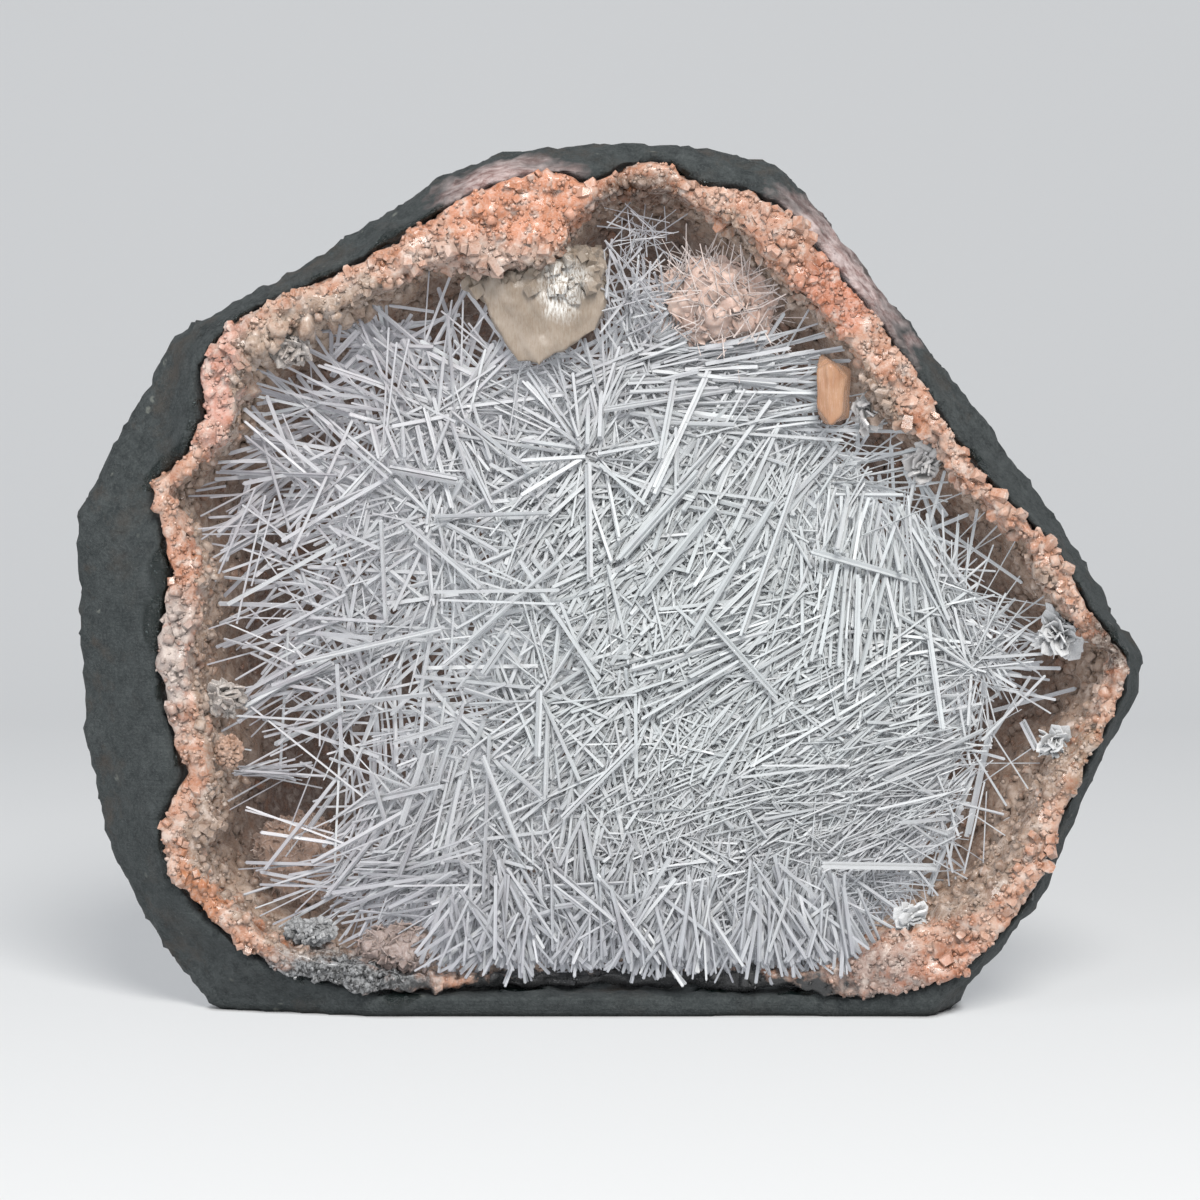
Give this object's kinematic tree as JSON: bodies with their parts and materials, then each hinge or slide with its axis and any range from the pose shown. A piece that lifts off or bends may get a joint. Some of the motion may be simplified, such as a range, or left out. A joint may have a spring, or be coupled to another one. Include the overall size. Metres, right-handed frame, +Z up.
{
  "type": "scolecite in heulandite geode",
  "caption": "Half of a basalt geode lined with salmon heulandite and filled with sprays of white scolecite needles, standing on a flat sawn base.",
  "frame": {"origin": "middle of the specimen's footprint box, on the surface that it stands on", "axes": "+X to the right of the open mouth as seen from the front, the mouth opens towards -Y, +Z up"},
  "size_m": [0.2, 0.0956, 0.1635],
  "materials": {
    "basalt": "fine-grained, dark grey-green, sawn and broken",
    "heulandite": "salmon crystal crust, granular, pearly",
    "pale_heulandite": "pale translucent, pearly",
    "honey_stilbite": "honey-coloured, translucent",
    "scolecite": "white, vitreous, translucent"
  },
  "bodies": {
    "root": {"basalt_shell": "basalt", "heulandite_crust": "heulandite", "scolecite_thicket": "scolecite", "scolecite_spray_upper_left": "scolecite", "scolecite_spray_top": "scolecite", "scolecite_spray_left_wall": "scolecite", "scolecite_spray_right_wall": "scolecite", "scolecite_spray_lower_left": "scolecite", "heulandite_mound_top_right": "heulandite", "heulandite_mound_lower_left": "heulandite", "heulandite_lobe_lower_left": "heulandite", "heulandite_druse_lower_left": "pale_heulandite", "heulandite_ledge_left": "pale_heulandite", "heulandite_ball_left": "pale_heulandite", "heulandite_cluster_upper_left": "pale_heulandite", "heulandite_cluster_by_blade": "pale_heulandite", "heulandite_cluster_right": "pale_heulandite", "heulandite_rosette_right": "pale_heulandite", "heulandite_rosette_lower_right": "pale_heulandite", "heulandite_pearl_lower_right": "pale_heulandite", "pale_crystal": "pale_heulandite", "stilbite_blade": "honey_stilbite"}
  },
  "joints": []
}
